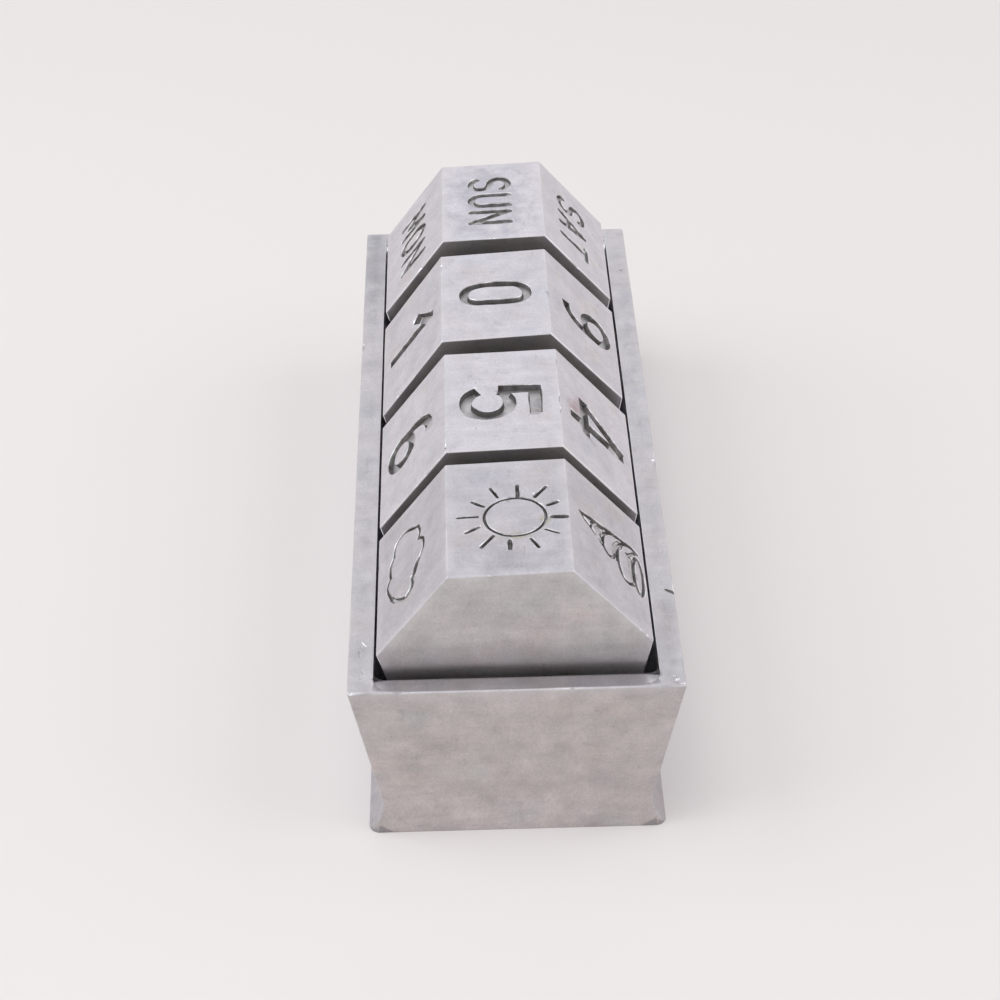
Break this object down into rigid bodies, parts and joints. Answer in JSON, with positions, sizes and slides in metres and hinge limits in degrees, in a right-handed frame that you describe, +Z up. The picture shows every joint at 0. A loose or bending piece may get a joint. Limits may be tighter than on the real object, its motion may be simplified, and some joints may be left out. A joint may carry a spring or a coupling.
{
  "type": "perpetual desk calendar",
  "caption": "Desk calendar for any month: a heavy metal tray with a half-round trough, in which many-sided blocks for weekday, date and weather lie end to end and are turned by hand.",
  "frame": {"origin": "middle of the tray's underside, on the surface that it stands on", "axes": "+X along the tray from the weekday block to the weather block, as it is read; +Z up; the reader sits at -Y"},
  "size_m": [0.152, 0.0584, 0.0563],
  "materials": {
    "tray_metal": "cast and hand-dressed, satin, a little worn and stained, bare metal",
    "block_metal": "satin with rubbed bright arrises, bare metal, signs cut flat-bottomed into the faces"
  },
  "bodies": {
    "tray": {"tray": "tray_metal"},
    "weekday_block": {"weekday_block": "block_metal"},
    "tens_block": {"tens_block": "block_metal"},
    "units_block": {"units_block": "block_metal"},
    "weather_block": {"weather_block": "block_metal"}
  },
  "joints": [
    {"name": "weekday_turn", "type": "hinge", "parent": "tray", "child": "weekday_block", "pos_m": [-0.0536, 0, 0.0335], "axis": [1, 0, 0], "continuous": true},
    {"name": "tens_turn", "type": "hinge", "parent": "tray", "child": "tens_block", "pos_m": [-0.0167, 0, 0.0335], "axis": [1, 0, 0], "continuous": true},
    {"name": "units_turn", "type": "hinge", "parent": "tray", "child": "units_block", "pos_m": [0.0195, 0, 0.0335], "axis": [1, 0, 0], "continuous": true},
    {"name": "weather_turn", "type": "hinge", "parent": "tray", "child": "weather_block", "pos_m": [0.0545, 0, 0.0335], "axis": [1, 0, 0], "continuous": true}
  ]
}
